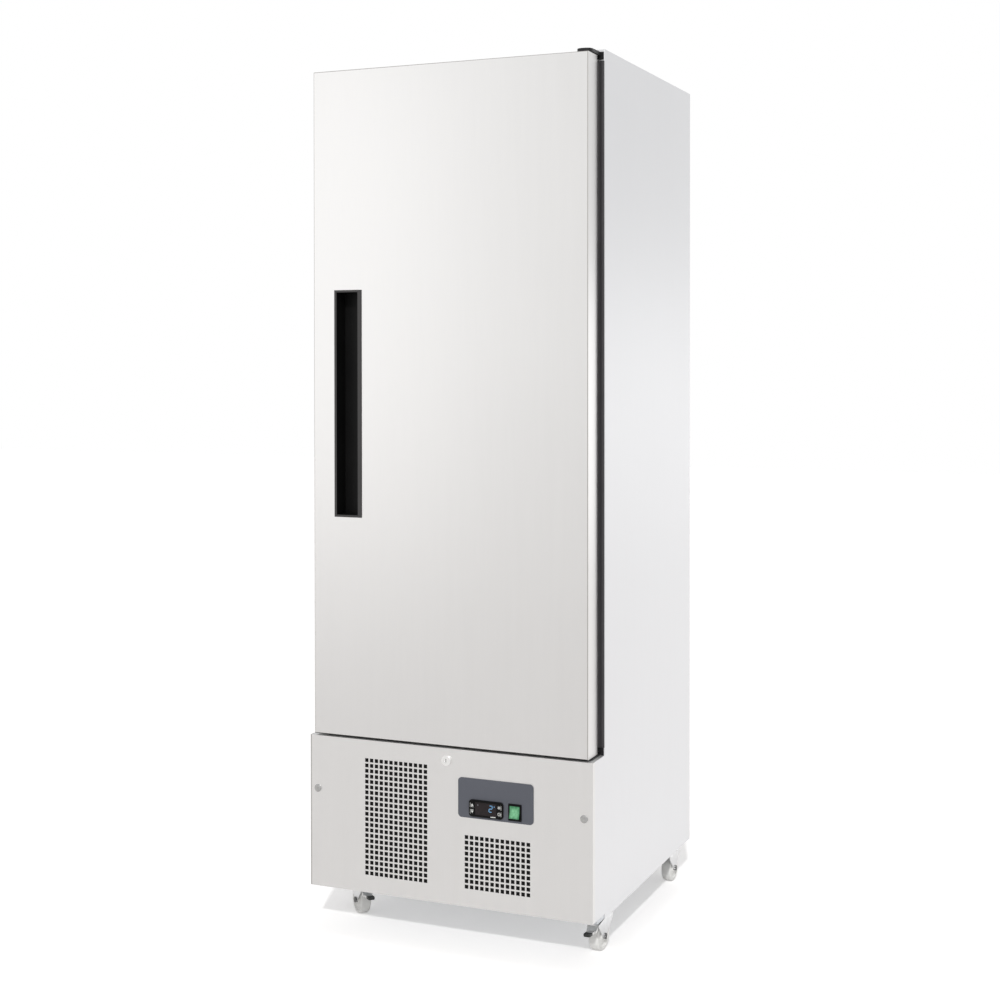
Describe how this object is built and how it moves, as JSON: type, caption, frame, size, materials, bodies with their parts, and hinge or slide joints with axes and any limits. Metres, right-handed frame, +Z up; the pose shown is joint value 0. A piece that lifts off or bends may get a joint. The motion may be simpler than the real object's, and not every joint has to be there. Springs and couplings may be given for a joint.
{
  "type": "refrigerated cabinet",
  "caption": "Upright stainless refrigerated cabinet on casters, with a hinged insulated door, shelves, a lower machine compartment, a controller and a rocker switch.",
  "frame": {"origin": "on the floor, under the middle of the cabinet", "axes": "+Z up, -Y out of the front with the door, +X to the right of someone who faces the door"},
  "size_m": [0.68, 0.7095, 1.95],
  "materials": {
    "aluminium": "aluminium fins",
    "black_enamel": "black enamel",
    "black_metal": "black coated steel",
    "black_plastic": "moulded black plastic",
    "black_rubber": "rubber",
    "chrome": "polished",
    "copper": "copper tube",
    "foam": "rigid foam",
    "galvanised": "galvanised sheet",
    "gasket_rubber": "soft grey gasket",
    "green_lens": "translucent green",
    "key_plastic": "black keys with pale symbols",
    "nylon": "white nylon",
    "plate_grey": "slate grey plate",
    "stainless": "satin stainless sheet",
    "white_plastic": "moulded white plastic",
    "window": "dark window",
    "zinc": "bright zinc plate"
  },
  "bodies": {
    "cabinet": {"side_panel_left": "stainless", "side_panel_right": "stainless", "top_panel": "stainless", "back_panel": "galvanised", "deck_panel": "galvanised", "wall_insulation": "foam", "inner_liner": "stainless", "shelf_uprights": "stainless", "shelf_runners": "stainless", "evaporator_cover": "stainless", "evaporator_coil": "aluminium", "evaporator_fan_motor": "black_metal", "base_frame": "galvanised", "front_panel": "stainless", "panel_screws": "chrome", "control_plate": "plate_grey", "controller_housing": "black_plastic", "controller_display": "window", "switch_body": "black_plastic", "lock_barrel": "chrome", "compressor": "black_enamel", "compressor_grommets": "black_rubber", "condenser_coil": "aluminium", "condenser_shroud": "galvanised", "condenser_fan_motor": "black_metal", "refrigerant_pipes": "copper", "evaporation_tray": "black_plastic", "rear_vent_panel": "galvanised", "cable_gland": "black_plastic", "hinge_bracket_top": "black_metal", "hinge_bracket_bottom": "black_metal", "caster_plates": "zinc"},
    "door": {"door_skin": "stainless", "door_insulation": "foam", "door_liner": "white_plastic", "door_gasket": "gasket_rubber", "handle_recess": "black_plastic", "hinge_bushes": "black_plastic"},
    "lock": {"lock_plug": "chrome", "lock_cam": "zinc"},
    "key_up": {"key_up": "key_plastic"},
    "key_down": {"key_down": "key_plastic"},
    "key_set": {"key_set": "key_plastic"},
    "key_standby": {"key_standby": "key_plastic"},
    "power_rocker": {"power_rocker": "green_lens"},
    "evaporator_fan": {"evaporator_fan": "black_plastic"},
    "condenser_fan": {"condenser_fan": "aluminium"},
    "shelf_upper": {"shelf_upper": "stainless"},
    "shelf_middle": {"shelf_middle": "stainless"},
    "shelf_lower": {"shelf_lower": "stainless"},
    "caster_fr": {"caster_fork_fr": "zinc"},
    "wheel_fr": {"caster_wheel_fr": "nylon"},
    "pedal_fr": {"brake_pedal_fr": "black_plastic"},
    "caster_fl": {"caster_fork_fl": "zinc"},
    "wheel_fl": {"caster_wheel_fl": "nylon"},
    "pedal_fl": {"brake_pedal_fl": "black_plastic"},
    "caster_br": {"caster_fork_br": "zinc"},
    "wheel_br": {"caster_wheel_br": "nylon"},
    "caster_bl": {"caster_fork_bl": "zinc"},
    "wheel_bl": {"caster_wheel_bl": "nylon"}
  },
  "joints": [
    {"name": "door_hinge", "type": "hinge", "parent": "cabinet", "child": "door", "pos_m": [0.314, -0.322, 1.1907], "axis": [0, 0, 1], "range_deg": [0, 115]},
    {"name": "lock_turn", "type": "hinge", "parent": "cabinet", "child": "lock", "pos_m": [0, -0.329, 0.4153], "axis": [0, -1, 0], "range_deg": [0, 90]},
    {"name": "rocker_tilt", "type": "hinge", "parent": "cabinet", "child": "power_rocker", "pos_m": [0.1633, -0.352, 0.3195], "axis": [1, 0, 0], "range_deg": [0, 22]},
    {"name": "evaporator_fan_spin", "type": "hinge", "parent": "cabinet", "child": "evaporator_fan", "pos_m": [0, 0.0534, 1.84645], "axis": [0, 1, 0], "continuous": true},
    {"name": "condenser_fan_spin", "type": "hinge", "parent": "cabinet", "child": "condenser_fan", "pos_m": [-0.1234, -0.243, 0.265], "axis": [0, 1, 0], "continuous": true},
    {"name": "key_up_press", "type": "slide", "parent": "cabinet", "child": "key_up", "axis": [0, 1, 0], "range_m": [0, 0.001], "stiffness_N_per_m": 400},
    {"name": "key_down_press", "type": "slide", "parent": "cabinet", "child": "key_down", "axis": [0, 1, 0], "range_m": [0, 0.001], "stiffness_N_per_m": 400},
    {"name": "key_set_press", "type": "slide", "parent": "cabinet", "child": "key_set", "axis": [0, 1, 0], "range_m": [0, 0.001], "stiffness_N_per_m": 400},
    {"name": "key_standby_press", "type": "slide", "parent": "cabinet", "child": "key_standby", "axis": [0, 1, 0], "range_m": [0, 0.001], "stiffness_N_per_m": 400},
    {"name": "shelf_upper_lift", "type": "slide", "parent": "cabinet", "child": "shelf_upper", "axis": [0, 0, 1], "range_m": [0, 0.025]},
    {"name": "shelf_middle_lift", "type": "slide", "parent": "cabinet", "child": "shelf_middle", "axis": [0, 0, 1], "range_m": [0, 0.025]},
    {"name": "shelf_lower_lift", "type": "slide", "parent": "cabinet", "child": "shelf_lower", "axis": [0, 0, 1], "range_m": [0, 0.025]},
    {"name": "caster_swivel_fr", "type": "hinge", "parent": "cabinet", "child": "caster_fr", "pos_m": [0.307, -0.19, 0.0832], "axis": [0, 0, 1], "continuous": true},
    {"name": "wheel_spin_fr", "type": "hinge", "parent": "caster_fr", "child": "wheel_fr", "pos_m": [0.30512, -0.21693, 0.0315], "axis": [0.9976, -0.0698, 0], "continuous": true},
    {"name": "brake_press_fr", "type": "hinge", "parent": "caster_fr", "child": "pedal_fr", "pos_m": [0.30309, -0.24586, 0.05975], "axis": [0.9976, -0.0698, 0], "range_deg": [0, 10]},
    {"name": "caster_swivel_fl", "type": "hinge", "parent": "cabinet", "child": "caster_fl", "pos_m": [-0.307, -0.19, 0.0832], "axis": [0, 0, 1], "continuous": true},
    {"name": "wheel_spin_fl", "type": "hinge", "parent": "caster_fl", "child": "wheel_fl", "pos_m": [-0.28662, -0.20771, 0.0315], "axis": [0.6561, 0.7547, 0], "continuous": true},
    {"name": "brake_press_fl", "type": "hinge", "parent": "caster_fl", "child": "pedal_fl", "pos_m": [-0.26474, -0.22674, 0.05975], "axis": [0.6561, 0.7547, 0], "range_deg": [0, 10]},
    {"name": "caster_swivel_br", "type": "hinge", "parent": "cabinet", "child": "caster_br", "pos_m": [0.307, 0.262, 0.0832], "axis": [0, 0, 1], "continuous": true},
    {"name": "wheel_spin_br", "type": "hinge", "parent": "caster_br", "child": "wheel_br", "pos_m": [0.307, 0.289, 0.0315], "axis": [-1, 0, 0], "continuous": true},
    {"name": "caster_swivel_bl", "type": "hinge", "parent": "cabinet", "child": "caster_bl", "pos_m": [-0.307, 0.262, 0.0832], "axis": [0, 0, 1], "continuous": true},
    {"name": "wheel_spin_bl", "type": "hinge", "parent": "caster_bl", "child": "wheel_bl", "pos_m": [-0.30001, 0.28808, 0.0315], "axis": [-0.9659, 0.2588, 0], "continuous": true}
  ]
}
